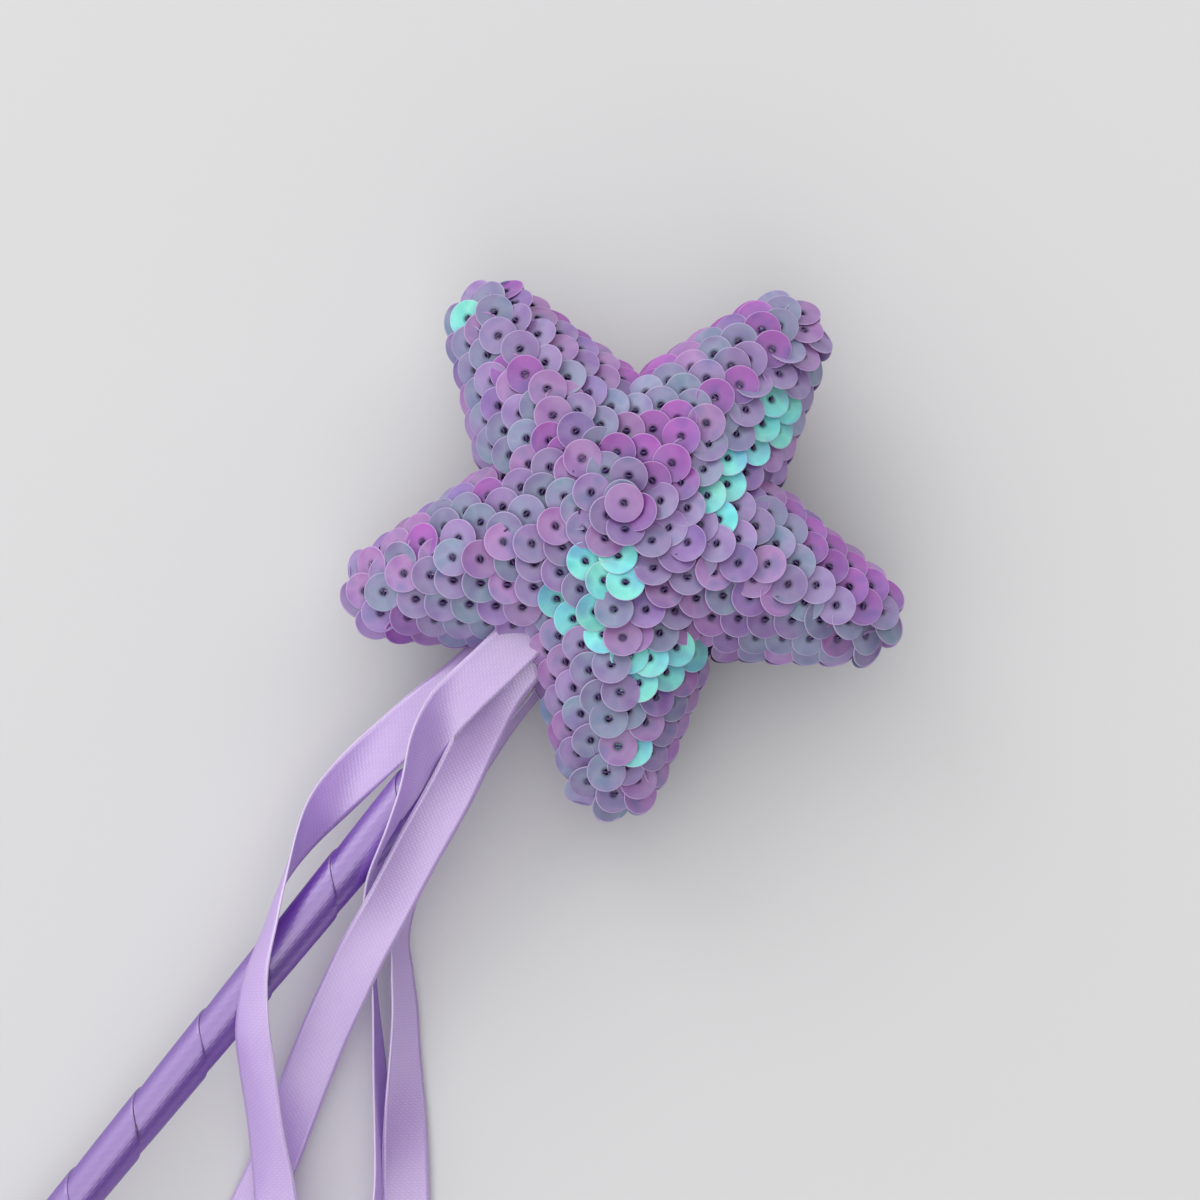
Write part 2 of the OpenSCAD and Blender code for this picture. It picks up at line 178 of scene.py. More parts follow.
def new_material(name, **values):
    """A Principled material with constant values; returns it with its node tree and its shader."""
    material = bpy.data.materials.new(name)
    material.use_nodes = True
    tree = material.node_tree
    shader = tree.nodes["Principled BSDF"]
    for key, value in values.items():
        shader.inputs[key.replace("_", " ")].default_value = value
    return material, tree, shader


def add(tree, kind, **values):
    node = tree.nodes.new(kind)
    for key, value in values.items():
        setattr(node, key, value)
    return node


def math_node(tree, operation, *values):
    node = add(tree, "ShaderNodeMath", operation=operation)
    for socket, value in zip(node.inputs, values):
        if isinstance(value, (int, float)):
            socket.default_value = value
        else:
            tree.links.new(value, socket)
    return node.outputs[0]


def ramp(tree, factor, stops):
    """A colour ramp with stops of (position, tone); a tone is an sRGB hex tone or a level of grey."""
    node = add(tree, "ShaderNodeValToRGB")
    elements = node.color_ramp.elements
    while len(elements) < len(stops):
        elements.new(0.5)
    for element, (position, tone) in zip(elements, stops):
        element.position = position
        element.color = linear(tone) if isinstance(tone, str) else (tone, tone, tone, 1.0)
    tree.links.new(factor, node.inputs[0])
    return node.outputs[0]


def mix(tree, factor, first, second, blend="MIX"):
    """A colour mix; each of factor, first and second is a socket or a constant."""
    node = add(tree, "ShaderNodeMix", data_type="RGBA", blend_type=blend)
    for socket, value in ((node.inputs[0], factor), (node.inputs[6], first), (node.inputs[7], second)):
        if isinstance(value, bpy.types.NodeSocket):
            tree.links.new(value, socket)
        else:
            socket.default_value = value
    return node.outputs[2]


def noise_out(tree, vector, scale, detail):
    node = add(tree, "ShaderNodeTexNoise")
    node.inputs["Scale"].default_value = scale
    node.inputs["Detail"].default_value = detail
    tree.links.new(vector, node.inputs["Vector"])
    return node.outputs["Fac"]


def bump(tree, shader, height, strength, distance):
    node = add(tree, "ShaderNodeBump")
    node.inputs["Strength"].default_value = strength
    node.inputs["Distance"].default_value = distance
    tree.links.new(height, node.inputs["Height"])
    tree.links.new(node.outputs[0], shader.inputs["Normal"])


def sequin_material():
    material, tree, shader = new_material(
        "sequin_film", IOR=1.6, Specular_Tint=linear("#b9f2f0"), Coat_Weight=0.12, Coat_Roughness=0.2,
    )
    tint = add(tree, "ShaderNodeVertexColor", layer_name="tint").outputs["Color"]
    place = add(tree, "ShaderNodeTexCoord").outputs["Object"]
    uv = add(tree, "ShaderNodeSeparateXYZ")
    tree.links.new(add(tree, "ShaderNodeUVMap", uv_map="UVMap").outputs[0], uv.inputs[0])
    radius = uv.outputs[0]
    streaks = noise_out(tree, place, 260, 1.5)
    film = ramp(tree, streaks, [(0.3, "#e7cfee"), (0.55, "#ffffff"), (0.75, "#cfe9ee")])
    toned = mix(tree, 1.0, tint, film, "MULTIPLY")
    # painted shade round the hole: each disc's face darkens towards the thread
    painted_hole_shade = ramp(tree, radius, [(0.16, 0.45), (0.34, 1.0)])
    shaded = mix(tree, 1.0, toned, painted_hole_shade, "MULTIPLY")
    # a paler band at the rim: painted highlight on the disc's edge
    rim = ramp(tree, radius, [(0.94, 0.0), (0.985, 0.55)])
    colour = mix(tree, rim, shaded, linear("#d2b6e2"))
    tree.links.new(colour, shader.inputs["Base Color"])
    rough = math_node(tree, "MULTIPLY_ADD", noise_out(tree, place, 900, 2.0), 0.16, 0.28)
    tree.links.new(rough, shader.inputs["Roughness"])
    bump(tree, shader, noise_out(tree, place, 420, 1.0), 0.12, 0.0004)
    return material


def thread_material():
    material, tree, shader = new_material("sewing_thread", Roughness=0.38, Sheen_Weight=0.2)
    place = add(tree, "ShaderNodeTexCoord").outputs["Object"]
    fibres = noise_out(tree, place, 2600, 2.0)
    tree.links.new(ramp(tree, fibres, [(0.3, "#241040"), (0.7, "#4b2a78")]),
                   shader.inputs["Base Color"])
    bump(tree, shader, fibres, 0.4, 0.0001)
    return material


def cloth_material():
    material, tree, shader = new_material(
        "star_cloth", Roughness=0.8, Sheen_Weight=0.35, Sheen_Tint=linear("#b58ad8"),
    )
    place = add(tree, "ShaderNodeTexCoord").outputs["Object"]
    threads = []
    for direction in ("X", "Y"):
        wave = add(tree, "ShaderNodeTexWave", bands_direction=direction)
        wave.inputs["Scale"].default_value = 620
        wave.inputs["Distortion"].default_value = 0.6
        tree.links.new(place, wave.inputs["Vector"])
        threads.append(wave.outputs["Fac"])
    weave = math_node(tree, "MULTIPLY", threads[0], threads[1])
    blotch = noise_out(tree, place, 180, 3.0)
    tone = mix(tree, weave, linear("#3a1a60"), linear("#6a3f9a"))
    worn = ramp(tree, blotch, [(0.3, 0.55), (0.7, 1.0)])
    tree.links.new(mix(tree, 0.5, tone, worn, "MULTIPLY"), shader.inputs["Base Color"])
    bump(tree, shader, weave, 0.5, 0.0003)
    return material


# Weave of the satin, in radians per millimetre across and along the ribbon
TWILL_ACROSS, TWILL_ALONG, WEFT_ALONG = 7.0, 9.0, 14.0
WEAVE_SHARE, SELVEDGE_FADE = 0.22, 0.012
SLUB_SCALE = (26.0, 0.35, 1.0)


def satin_material(name, face, shade, edge, edge_at, roughness, ior, gloss, through=0.0, glow_tone="#ffffff"):
    """Satin ribbon: its UV is a share across and millimetres along; a share of the light goes through. The
    edge tone marks woven selvedges on the streamers; on the wound ribbon its dark tone is painted shadow
    along the overlapping edge of each turn.
    """
    material, tree, shader = new_material(
        name, Roughness=roughness, IOR=ior, Specular_Tint=linear(gloss),
        Sheen_Weight=0.2, Sheen_Roughness=0.35, Sheen_Tint=linear(face),
    )
    uv = add(tree, "ShaderNodeUVMap", uv_map="UVMap").outputs[0]
    split = add(tree, "ShaderNodeSeparateXYZ")
    tree.links.new(uv, split.inputs[0])
    across, along = split.outputs[0], split.outputs[1]
    twill_phase = math_node(tree, "ADD", math_node(tree, "MULTIPLY", across, STREAMER_W * TWILL_ACROSS),
                            math_node(tree, "MULTIPLY", along, TWILL_ALONG))
    twill = math_node(tree, "MULTIPLY_ADD", math_node(tree, "SINE", twill_phase), 0.5, 0.5)
    weft_phase = math_node(tree, "MULTIPLY", along, WEFT_ALONG)
    weft = math_node(tree, "MULTIPLY_ADD", math_node(tree, "SINE", weft_phase), 0.5, 0.5)
    weave = math_node(tree, "MULTIPLY", twill, weft)
    stretch = add(tree, "ShaderNodeMapping")
    stretch.inputs["Scale"].default_value = SLUB_SCALE
    tree.links.new(uv, stretch.inputs["Vector"])
    slubs = noise_out(tree, stretch.outputs[0], 1.0, 3.0)
    tone = mix(tree, ramp(tree, slubs, [(0.1, 0.0), (0.9, 1.0)]), linear(shade), linear(face))
    thread_shade = ramp(tree, weave, [(0.0, 0.25), (0.6, 1.0)])
    woven = mix(tree, WEAVE_SHARE, tone, thread_shade, "MULTIPLY")
    # edge band: woven selvedge on the streamers, painted shadow of the overlapping edge on the wound ribbon
    side = math_node(tree, "ABSOLUTE", math_node(tree, "SUBTRACT", across, 0.5))
    selvedge_and_seam_shade = ramp(tree, side, [(edge_at, 0.0), (edge_at + SELVEDGE_FADE, 1.0)])
    colour = mix(tree, selvedge_and_seam_shade, woven, linear(edge))
    tree.links.new(colour, shader.inputs["Base Color"])
    relief = math_node(tree, "ADD", math_node(tree, "MULTIPLY", weave, 0.5),
                       math_node(tree, "MULTIPLY", selvedge_and_seam_shade, 0.8))
    bump(tree, shader, relief, 0.4, 0.0001)
    if through > 0:
        glow = add(tree, "ShaderNodeBsdfTranslucent")
        glow.inputs["Color"].default_value = linear(glow_tone)
        both = add(tree, "ShaderNodeMixShader")
        both.inputs[0].default_value = through
        tree.links.new(shader.outputs[0], both.inputs[1])
        tree.links.new(glow.outputs[0], both.inputs[2])
        tree.links.new(both.outputs[0], tree.nodes["Material Output"].inputs["Surface"])
    return material


def wood_material():
    material, tree, shader = new_material("dowel_wood", Roughness=0.62)
    place = add(tree, "ShaderNodeTexCoord").outputs["Object"]
    stretch = add(tree, "ShaderNodeMapping")
    stretch.inputs["Scale"].default_value = (1.0, 0.06, 1.0)
    tree.links.new(place, stretch.inputs["Vector"])
    rings = add(tree, "ShaderNodeTexWave", wave_type="RINGS", rings_direction="Y")
    rings.inputs["Scale"].default_value = 360
    rings.inputs["Distortion"].default_value = 3.0
    rings.inputs["Detail"].default_value = 3.0
    tree.links.new(stretch.outputs[0], rings.inputs["Vector"])
    grain = noise_out(tree, stretch.outputs[0], 1500, 4.0)
    tone = ramp(tree, rings.outputs["Fac"], [(0.1, "#d9bc8c"), (0.9, "#e8cfa4")])
    pores = ramp(tree, grain, [(0.35, 0.6), (0.65, 1.0)])
    tree.links.new(mix(tree, 0.25, tone, pores, "MULTIPLY"), shader.inputs["Base Color"])
    bump(tree, shader, grain, 0.3, 0.0002)
    return material


def glue_material():
    material, tree, shader = new_material(
        "hot_glue", Roughness=0.35, Subsurface_Weight=0.3, Subsurface_Scale=0.002,
    )
    place = add(tree, "ShaderNodeTexCoord").outputs["Object"]
    cloud = noise_out(tree, place, 500, 3.0)
    tree.links.new(ramp(tree, cloud, [(0.3, "#e4d7ad"), (0.7, "#f4ecd2")]),
                   shader.inputs["Base Color"])
    bump(tree, shader, cloud, 0.3, 0.0005)
    return material


def stuffing_material():
    material, tree, shader = new_material("fibre_fill", Roughness=0.95, Sheen_Weight=0.5)
    place = add(tree, "ShaderNodeTexCoord").outputs["Object"]
    fibres = noise_out(tree, place, 700, 6.0)
    tree.links.new(ramp(tree, fibres, [(0.3, "#d9d2e0"), (0.7, "#fbf8fc")]),
                   shader.inputs["Base Color"])
    bump(tree, shader, fibres, 0.8, 0.001)
    return material


# Outline and cloth of the stuffed star

TIP_C = TIP_R - TIP_ROUND
NOTCH_C = NOTCH_R + NOTCH_ROUND
NOTCH_WAY = (NOTCH_C * cosd(POINT_HALF) - TIP_C, NOTCH_C * sind(POINT_HALF))
EDGE_ANG = math.degrees(
    math.atan2(NOTCH_WAY[1], NOTCH_WAY[0]) - math.acos((TIP_ROUND + NOTCH_ROUND) / math.hypot(*NOTCH_WAY))
)
EDGE_D = TIP_C * cosd(EDGE_ANG) + TIP_ROUND
CORE_R = (TIP_R + NOTCH_R) / 2


def from_tip(a):
    return abs((a + POINT_HALF) % (2 * POINT_HALF) - POINT_HALF)


def arc_root(r, reach):
    return math.sqrt(max(r * r - reach * reach, 0.0))


def outline(a, inset):
    """Radius of the star's outline, moved in by an inset, at the angle a from the top tip."""
    b = from_tip(a)
    nx, ny = cosd(EDGE_ANG), sind(EDGE_ANG)
    foot = math.degrees(math.atan2((TIP_ROUND - inset) * ny, TIP_C + (TIP_ROUND - inset) * nx))
    top = math.degrees(math.atan2(
        NOTCH_C * sind(POINT_HALF) - (NOTCH_ROUND + inset) * ny,
        NOTCH_C * cosd(POINT_HALF) - (NOTCH_ROUND + inset) * nx,
    ))
    if b < foot and inset < TIP_ROUND:
        return TIP_C * cosd(b) + arc_root(TIP_ROUND - inset, TIP_C * sind(b))
    if b > top:
        return NOTCH_C * cosd(POINT_HALF - b) - arc_root(NOTCH_ROUND + inset, NOTCH_C * sind(POINT_HALF - b))
    return (EDGE_D - inset) / cosd(b - EDGE_ANG)


def height(t, inset=0.0, rim_z=0.0):
    return rim_z + (STAR_HALF - inset - rim_z) * max(1 - t * t, 0.0) ** CROWN


def polar(a, r):
    return (-r * sind(a), r * cosd(a))


def puffed(a, t, inset, rim_z=0.0):
    mid_r = CORE_R - inset
    r = t * (mid_r + (outline(a, inset) - mid_r) * t)
    return (*polar(a, r), height(t, inset, rim_z))


def cloth(x, y):
    """The point of the front cloth over x, y."""
    r = math.hypot(x, y)
    rim_r = outline(math.degrees(math.atan2(-x, y)), 0.0)
    t = 2 * r / (CORE_R + math.sqrt(max(CORE_R * CORE_R + 4 * r * (rim_r - CORE_R), 0.0)))
    return np.array((x, y, height(t)))


def cloth_normal(x, y, probe=0.05):
    across = cloth(x + probe, y) - cloth(x - probe, y)
    along = cloth(x, y + probe) - cloth(x, y - probe)
    return unit(np.cross(across, along))


# Sequin rows, as in the part's source but sewn a little closer

SEAM_STEPS, ROW_STEPS, LEAST_IN_ROW = 60, 180, 3
SEQUIN_PITCH, ROW_START, ROWS, ROW_END = 4.1, 2.7, 8, 0.6
LEAN_ALONG, LEAN_IN, LEAN_BEND = 0.22, 0.4, 0.2
NOTCH_ROWS, RIDGE_ROWS, SKIP_ROOM = 3, (3, 7), 1.9
CROWN_PLACE, CROWN_LIFT, CROWN_WAY = (-0.9, 1.1), 0.8, (0.1, -0.14, 1.0)
RIDGE_START, RIDGE_END_R, RIDGE_LIFT, RIDGE_SWAY = 7.0, 8.0, 0.45, 0.7
FILL_REACH, FILL_STEP, FILL_LIFT, FILL_LEAN = 2.85, 0.8, 0.6, 0.3
FILL_FROM_SEAM, FILL_FROM_MOUTH = 1.5, 0.5


def seam_table():
    """Distance over the cloth from the seam in a notch, against the inset of the outline."""
    inset = [NOTCH_R * i / SEAM_STEPS for i in range(SEAM_STEPS + 1)]
    return run_lengths([cloth(*polar(POINT_HALF, NOTCH_R - d)) for d in inset]), inset


def row_insets():
    distance, inset = seam_table()
    pitch = (distance[-1] - ROW_START) / (ROWS - 1 + ROW_END)
    return [float(np.interp(ROW_START + k * pitch, distance, inset)) for k in range(ROWS)]


def row_point(a, inset):
    return polar(a, outline(a, inset))


def row_angles(row, inset):
    angles = [360 * k / ROW_STEPS for k in range(ROW_STEPS + 1)]
    distance = run_lengths([cloth(*row_point(a, inset)) for a in angles])
    count = max(LEAST_IN_ROW, round(distance[-1] / SEQUIN_PITCH))
    phase = 0.5 if row % 2 == 0 else 0.0
    return [float(np.interp((j + phase) * distance[-1] / count, distance, angles)) for j in range(count)]


def sequin_frame(a, inset):
    """Normal of the leaning disc and the way along its row."""
    reach = math.degrees(SEQUIN_PITCH / 2 / max(outline(a, inset), 2 * SEQUIN_R))
    back, ahead = row_point(a - reach, inset), row_point(a + reach, inset)
    n = cloth_normal(*row_point(a, inset))
    v = unit(np.cross(n, cloth(*ahead) - cloth(*back)))
    u = np.cross(v, n)
    bend = math.acos(min(max(float(cloth_normal(*back) @ cloth_normal(*ahead)), -1.0), 1.0))
    lean = unit(n + (LEAN_ALONG + LEAN_BEND * bend) * u + LEAN_IN * v)
    return n, lean, u


def is_sewn(row, a, inset, p):
    """Whether a row has a disc at p: not over the stick, nor where a notch or a ridge leaves no room."""
    over_stick = p[1] < 0 and math.hypot(p[0], p[2]) < MOUTH_R + SEQUIN_R / 2
    r = outline(a, inset)
    in_notch = row <= NOTCH_ROWS and r * sind(POINT_HALF - from_tip(a)) < SKIP_ROOM
    on_ridge = RIDGE_ROWS[0] <= row <= RIDGE_ROWS[1] and r * sind(from_tip(a)) < SKIP_ROOM
    return not (over_stick or in_notch or on_ridge)


def ridge_radii():
    """Radii of the discs along the ridge of an arm, from its tip inwards."""
    radius = [TIP_R * (1 - i / SEAM_STEPS) for i in range(SEAM_STEPS + 1)]
    distance = run_lengths([cloth(0.0, r) for r in radius])
    places = np.arange(RIDGE_START, distance[-1], SEQUIN_PITCH)
    return [r for r in np.interp(places, distance, radius) if r > RIDGE_END_R]


def ridge_frames():
    """Frames of the discs along the ridges, which sway to the left and right in turn."""
    frames = []
    for k in range(STAR_POINTS):
        a = 2 * POINT_HALF * k
        for i, r in enumerate(ridge_radii()):
            q = polar(a + math.degrees(RIDGE_SWAY / r) * (-1) ** (i + k), r)
            n = cloth_normal(*q)
            v = unit(np.cross(n, np.cross((*polar(a, -1.0), 0.0), n)))
            u = np.cross(v, n)
            frames.append((cloth(*q) + (SEQUIN_LIFT + RIDGE_LIFT) * n, unit(n + LEAN_IN * v), u))
    return frames


def fill_frames(frames):
    """Low discs in the bare patches that the rows and the ridges leave, widest patch first."""
    steps = np.arange(-TIP_R, TIP_R, FILL_STEP)
    spots = []
    for x in steps:
        for y in steps:
            inside = math.hypot(x, y) < outline(math.degrees(math.atan2(-x, y)), FILL_FROM_SEAM)
            if inside and not (y < 0 and math.hypot(x, cloth(x, y)[2]) < MOUTH_R + FILL_FROM_MOUTH):
                spots.append((x, y))
    lifted = np.array([cloth(*q) + SEQUIN_LIFT * cloth_normal(*q) for q in spots])
    reach = np.min([np.linalg.norm(lifted - f[0], axis=1) for f in frames], axis=0)
    filled = []
    while reach.max() > FILL_REACH:
        k = int(reach.argmax())
        n = cloth_normal(*spots[k])
        inward = np.array((-spots[k][0], -spots[k][1], 0.0))
        v = unit(inward - (inward @ n) * n)
        low = lifted[k] - (1 - FILL_LIFT) * SEQUIN_LIFT * n
        filled.append((low, unit(n + FILL_LEAN * v), np.cross(v, n)))
        reach = np.minimum(reach, np.linalg.norm(lifted - lifted[k], axis=1))
    return filled


def sequin_frames():
    """Centre, leaning normal and row way of each disc of the front, in the wand's frame."""
    frames = []
    for row, inset in enumerate(row_insets(), 1):
        for a in row_angles(row, inset):
            q = row_point(a, inset)
            n, lean, u = sequin_frame(a, inset)
            p = cloth(*q) + SEQUIN_LIFT * n
            if is_sewn(row, a, inset, p):
                frames.append((p, lean, u))
    frames += ridge_frames()
    frames += fill_frames(frames)
    crown = np.array((*CROWN_PLACE, STAR_HALF + SEQUIN_LIFT + CROWN_LIFT))
    frames.append((crown, unit(CROWN_WAY), np.array((1.0, 0.0, 0.0))))
    return frames


# Profile of a disc: radius and height of each ring, from the hole over the face and the rim to the back
DISC_RINGS = [
    (SEQUIN_HOLE_R, -0.03), (SEQUIN_HOLE_R + 0.08, 0.05), (1.1, 0.04), (1.9, 0.05), (2.55, 0.08),
    (2.82, 0.11), (2.95, 0.11), (SEQUIN_R, 0.06), (2.93, 0.0), (1.5, -0.05), (SEQUIN_HOLE_R, -0.03),
]
DISC_SIDES = 28

# Painted turquoise reflections (flashes) and painted magenta sheen, as places on the front of the star
PAINTED_FLASH_SPOTS = [
    (0.7, -10.6), (4.5, -5.5), (4.5, -12.8), (8.3, -15), (15.2, -14.7), (16.3, -17.6), (19.2, -10),
    (18.2, -13.5), (22, -24.5), (6.8, 27.5), (7.8, 23.7), (8.5, 19.7), (6.6, 17.2), (8, 13.8), (9.6, 9.4),
    (6, -9.8), (1.6, -16.5), (19.9, -15.6), (-38.5, 10),
]
# painted magenta sheen at these places
PAINTED_SHEEN_SPOTS = [
    (-1.5, 15.5), (-6.5, 13.5), (-5.5, 8), (0, 8.5), (2.5, 7.5), (1, 3), (-14.5, 2), (-4.5, 37.5), (-1, 34.5),
    (0.5, 24.5), (26.5, 15.5), (31.5, 14.5), (34.5, 14), (-21.5, -22), (-15, -33), (-28, 8),
]
ACCENT_R = 2.4

# Way that slopes with a painted magenta sheen face, and tones of the discs; flash and mint are painted
# turquoise reflections
SHEEN_WAY = np.array((-0.632, 0.775, 0.0))
TONES = {
    "mauve": "#a684bc", "grey": "#998cb4", "green": "#8f9cb4", "violet": "#8f6cb0", "magenta": "#b052b4",
    "pink": "#b27eb8", "flash": "#7ae4ea", "mint": "#9cf0da",
}
# second tone of each disc, blended across its face as a painted sheen
PARTNERS = {
    "mauve": "grey", "grey": "green", "green": "mauve", "violet": "mauve", "magenta": "violet",
    "pink": "mauve", "flash": "mint", "mint": "flash",
}
FLASH_TONES = ["flash", "flash", "mint"]
PAINTED_SHEEN_TONES = ["magenta", "magenta", "pink"]
COOL_TONES = ["grey", "grey", "green", "mauve"]
PLAIN_TONES = ["mauve", "mauve", "violet", "pink", "pink", "grey"]
DRIFT_SCALE, BACK_DRIFT, DRIFT_SHARE = 0.07, 9.0, 0.5
SLOPE_LEVEL, SLOPE_JITTER = 0.62, 0.25
COOL_LEVEL, COOL_JITTER = 0.18, 0.3

# Spread from disc to disc: tilt, brightness, turn of the second tone, which is a painted sheen across each
# disc, curl of the rim
FRONT_SEED, BACK_SEED = 11, 23
TILT_SPREAD, GAIN_SPREAD, TURN_SPREAD, CURL_SPREAD = 0.05, (0.77, 1.03), 0.7, (0.6, 2.4)
PAINTED_SHEEN_BLEND = 0.4


def near_accent(p, places):
    return any(math.hypot(p[0] - x, p[1] - y) < ACCENT_R for x, y in places)


def sequin_tone(p, n, front, rng):
    """Tone of one disc: painted turquoise flashes and painted magenta sheen at given places, painted magenta
    and pink sheen on slopes that face up the star, grey and green in patches of noise.
    """
    slope = float(n @ SHEEN_WAY)
    drift = noise.noise(Vector(p) * DRIFT_SCALE + Vector((0.0, 0.0, 0.0 if front else BACK_DRIFT)))
    if front and near_accent(p, PAINTED_FLASH_SPOTS):
        return rng.choice(FLASH_TONES)
    if front and near_accent(p, PAINTED_SHEEN_SPOTS):
        return "magenta"
    if slope + DRIFT_SHARE * drift + rng.uniform(-SLOPE_JITTER, SLOPE_JITTER) > SLOPE_LEVEL:
        return rng.choice(PAINTED_SHEEN_TONES)
    if drift + rng.uniform(-COOL_JITTER, COOL_JITTER) > COOL_LEVEL:
        return rng.choice(COOL_TONES)
    return rng.choice(PLAIN_TONES)


def build_sequins(name, front, material, thread):
    """All the discs of one side, and the thread that holds each of them at its hole."""
    rng = random.Random(FRONT_SEED if front else BACK_SEED)
    flip = np.array((1.0, 1.0, 1.0 if front else -1.0))
    angles = [2 * math.pi * j / DISC_SIDES for j in range(DISC_SIDES)]
    ring_faces = grid_faces(len(DISC_RINGS), DISC_SIDES, wrap=True)
    points, faces, uvs, tints = [], [], [], []
    stitch_points, stitch_faces = [], []
    for p, n, u in sequin_frames():
        wobble = np.array([rng.uniform(-1, 1) for _ in range(3)])
        n = unit(n + TILT_SPREAD * wobble)
        x = unit(u - (u @ n) * n)
        y = np.cross(n, x)
        kind = sequin_tone(p, n, front, rng)
        gain = np.array((*[rng.uniform(*GAIN_SPREAD)] * 3, 1.0))
        tone, partner = (np.array(linear(TONES[k])) * gain for k in (kind, PARTNERS[kind]))
        # the second tone is a painted sheen across each disc, set by the disc's turn from the sheen's way
        turn = math.atan2(float(SHEEN_WAY @ y), float(SHEEN_WAY @ x)) + rng.uniform(-TURN_SPREAD, TURN_SPREAD)
        curl = rng.uniform(*CURL_SPREAD)
        start = len(points)
        for r, z in DISC_RINGS:
            for t in angles:
                local = p + r * (math.cos(t) * x + math.sin(t) * y) + z * curl * n
                points.append(local * flip)
                uvs.append((r / SEQUIN_R, t / (2 * math.pi)))
                blend = PAINTED_SHEEN_BLEND - PAINTED_SHEEN_BLEND * math.cos(t - turn) * r / SEQUIN_R
                tints.append(tone + (partner - tone) * blend)
        faces.extend(tuple(start + i for i in (f if front else f[::-1])) for f in ring_faces)
        add_stitch(stitch_points, stitch_faces, p, n, x, y, flip, front)
    discs = mesh_piece(name, lay(points), faces, material, uvs, tints, slot="sequin")
    mesh_piece(name + "_threads", lay(stitch_points), stitch_faces, thread, slot="thread")
    return discs


# Thread loop of a disc: place along its row and height of each point
STITCH_PATH = [(-0.5, -0.35), (-0.42, 0.12), (-0.1, 0.3), (0.28, 0.26), (0.52, 0.02), (0.55, -0.35)]
STITCH_R, STITCH_SIDES = 0.17, 6


def add_stitch(points, faces, p, n, x, y, flip, front):
    """A small loop of thread that comes up through the hole and goes down over the disc's face."""
    start = len(points)
    for i, (along, up) in enumerate(STITCH_PATH):
        before = np.array(STITCH_PATH[max(i - 1, 0)])
        after = np.array(STITCH_PATH[min(i + 1, len(STITCH_PATH) - 1)])
        way = unit(after - before)
        out = -way[1] * x + way[0] * n
        for k in range(STITCH_SIDES):
            t = 2 * math.pi * k / STITCH_SIDES
            offset = STITCH_R * (math.cos(t) * out + math.sin(t) * y)
            points.append((p + along * x + up * n + offset) * flip)
    quads = tube_faces(len(STITCH_PATH), STITCH_SIDES)
    faces.extend(tuple(start + i for i in (f if front else f[::-1])) for f in quads)


# Covers, stuffing and seam

COVER_SPOKES, COVER_RINGS = 200, 36
STUFFING_SPOKES, STUFFING_RINGS = 120, 20
FIRST_RING = 0.02
COVER_MOUTH_OUT, COVER_MOUTH_IN = MOUTH_R + 0.6, MOUTH_R - 0.1
PUCKER, PUCKER_SCALE, PUCKER_PLACE = 0.25, 0.22, 5.0
STUFFING_GAP, STUFFING_LEAST = 0.3, 0.1
LUMP, LUMP_SCALE, LUMP_PLACE = 0.3, 0.3, 4.0
SEAM_COUNT, SEAM_ROOM, SEAM_THREAD_R, SEAM_LOOP = 60, 0.4, 0.2, 6
SEAM_OUT, SEAM_SINK, SEAM_HALF, SEAM_SLANT = 0.5, 0.1, 0.9, 0.35
TUBE_SIDES, TUBE_GUIDE = 6, (0.31, 0.52, 0.79)


def ring_share(i, rings):
    """Share of the way from the star's middle to its seam, closer together near the seam."""
    return math.sin(math.pi / 2 * max(i, FIRST_RING) / rings)


def round_mouth(point, clear):
    """Cloth that would lie inside the stick's mouth goes round it."""
    x, y, z = point
    reach = math.hypot(x, z)
    if y > -NOTCH_R / 2 or reach >= clear or z < 0:
        return point
    x = min(max(x, -clear), clear)
    return (x, y, math.sqrt(max(clear * clear - x * x, 0.0)))


def rim_faces(edge, count, spokes):
    """Quads that join the last rings of two layers of points, each of count points."""
    faces = []
    for j in range(spokes):
        here, ahead = edge + j, edge + (j + 1) % spokes
        faces.append((count + ahead, count + here, here, ahead))
    return faces


def build_cover(name, front, material):
    """One cover of the star: a crowned shell of cloth that closes at the seam and goes round the stick."""
    side = 1.0 if front else -1.0
    spokes, rings = COVER_SPOKES, COVER_RINGS
    points = []
    for inset, clear, pucker in ((0.0, COVER_MOUTH_OUT, PUCKER), (COVER_T, COVER_MOUTH_IN, 0.0)):
        for i in range(rings + 1):
            t = ring_share(i, rings)
            for j in range(spokes):
                x, y, z = puffed(360 * j / spokes, t, inset)
                z += pucker * noise.noise(Vector((x, y, side * PUCKER_PLACE)) * PUCKER_SCALE) * (1 - t)
                x, y, z = round_mouth((x, y, z), clear)
                points.append((x, y, side * z))
    count = (rings + 1) * spokes
    outer = grid_faces(rings + 1, spokes, wrap=True)
    inner = [tuple(count + i for i in f[::-1]) for f in outer]
    rim = rim_faces(rings * spokes, count, spokes)
    caps = [tuple(range(spokes))[::-1], tuple(range(count, count + spokes))]
    faces = outer + inner + rim + caps
    if front:
        faces = [f[::-1] for f in faces]
    piece = mesh_piece(name, lay(points), faces, material, slot="cloth")
    return piece


